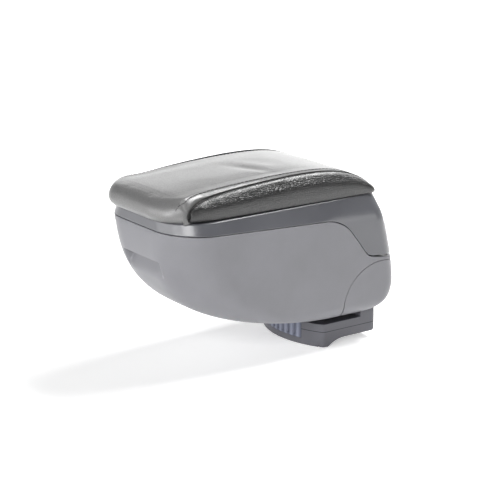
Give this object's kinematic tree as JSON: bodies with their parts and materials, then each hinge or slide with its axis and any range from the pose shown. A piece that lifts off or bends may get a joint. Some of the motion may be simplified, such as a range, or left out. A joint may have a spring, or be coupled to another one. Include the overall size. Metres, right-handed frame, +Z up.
{
  "type": "car centre armrest",
  "caption": "Car armrest box with a padded sliding top, hinged lid, bow-shaped body tilting on a drum hinge, and a foot with a fluted release button.",
  "frame": {"origin": "centre of the mounting holes on the foot's flat underside", "axes": "+Z up, -Y towards the front of the box where the finger recess is, +X to the object's left seen from the front"},
  "size_m": [0.1558, 0.2863, 0.1968],
  "materials": {
    "foot_plastic": "fine moulded grain",
    "shell_plastic": "satin moulded, fine grain",
    "lid_plastic": "satin moulded, fine grain",
    "button_plastic": "satin, fluted",
    "liner_plastic": "matte moulded",
    "runner_plastic": "natural acetal",
    "bright_steel": "ground",
    "arm_steel": "zinc plated",
    "spring_steel": "drawn wire and strip",
    "hinge_steel": "black painted",
    "black_steel": "black oxide",
    "magnet": "sintered ferrite",
    "bumper_rubber": "moulded",
    "mat_rubber": "ribbed",
    "board_wood": "pressed fibre board",
    "top_leather": "light grey embossed leatherette",
    "side_leather": "dark grey coarse embossed leatherette",
    "piping_leather": "dark seam welt"
  },
  "bodies": {
    "foot": {"foot_base": "foot_plastic", "foot_housing": "foot_plastic", "knuckle_cover": "shell_plastic", "hinge_shaft": "bright_steel", "shaft_clips": "spring_steel", "arm_bumpers": "bumper_rubber", "foot_screws": "black_steel", "button_springs": "spring_steel"},
    "button": {"release_button": "button_plastic", "latch_tooth": "black_steel"},
    "box": {"lower_shell": "shell_plastic", "floor_mat": "mat_rubber", "hinge_arm_left": "arm_steel", "hinge_arm_right": "arm_steel", "arm_screws": "black_steel", "lid_hinge_base": "hinge_steel", "lid_hinge_pin": "bright_steel", "hinge_rivets": "bright_steel", "striker_bracket": "arm_steel"},
    "lid": {"lid_shell": "lid_plastic", "lid_hinge_leaf": "hinge_steel", "lid_liner": "liner_plastic", "liner_screws": "black_steel", "catch_magnet": "magnet"},
    "cushion": {"pad_board": "board_wood", "pad_top": "top_leather", "pad_side_left": "side_leather", "pad_side_right": "side_leather", "piping_left": "piping_leather", "piping_right": "piping_leather", "pad_runner_left": "runner_plastic", "pad_runner_right": "runner_plastic", "runner_screws": "black_steel"}
  },
  "joints": [
    {"name": "button_press", "type": "slide", "parent": "foot", "child": "button", "axis": [0, 1, 0], "range_m": [0, 0.004], "stiffness_N_per_m": 600, "springref_m": -0.004, "deforming": ["button_springs"]},
    {"name": "box_tilt", "type": "hinge", "parent": "foot", "child": "box", "pos_m": [0, 0.0177, 0.035], "axis": [-1, 0, 0], "range_deg": [0, 80]},
    {"name": "lid_open", "type": "hinge", "parent": "box", "child": "lid", "pos_m": [0, 0.03227, 0.0915], "axis": [-1, 0, 0], "range_deg": [0, 75]},
    {"name": "cushion_slide", "type": "slide", "parent": "lid", "child": "cushion", "axis": [0, -1, 0], "range_m": [0, 0.05]}
  ]
}
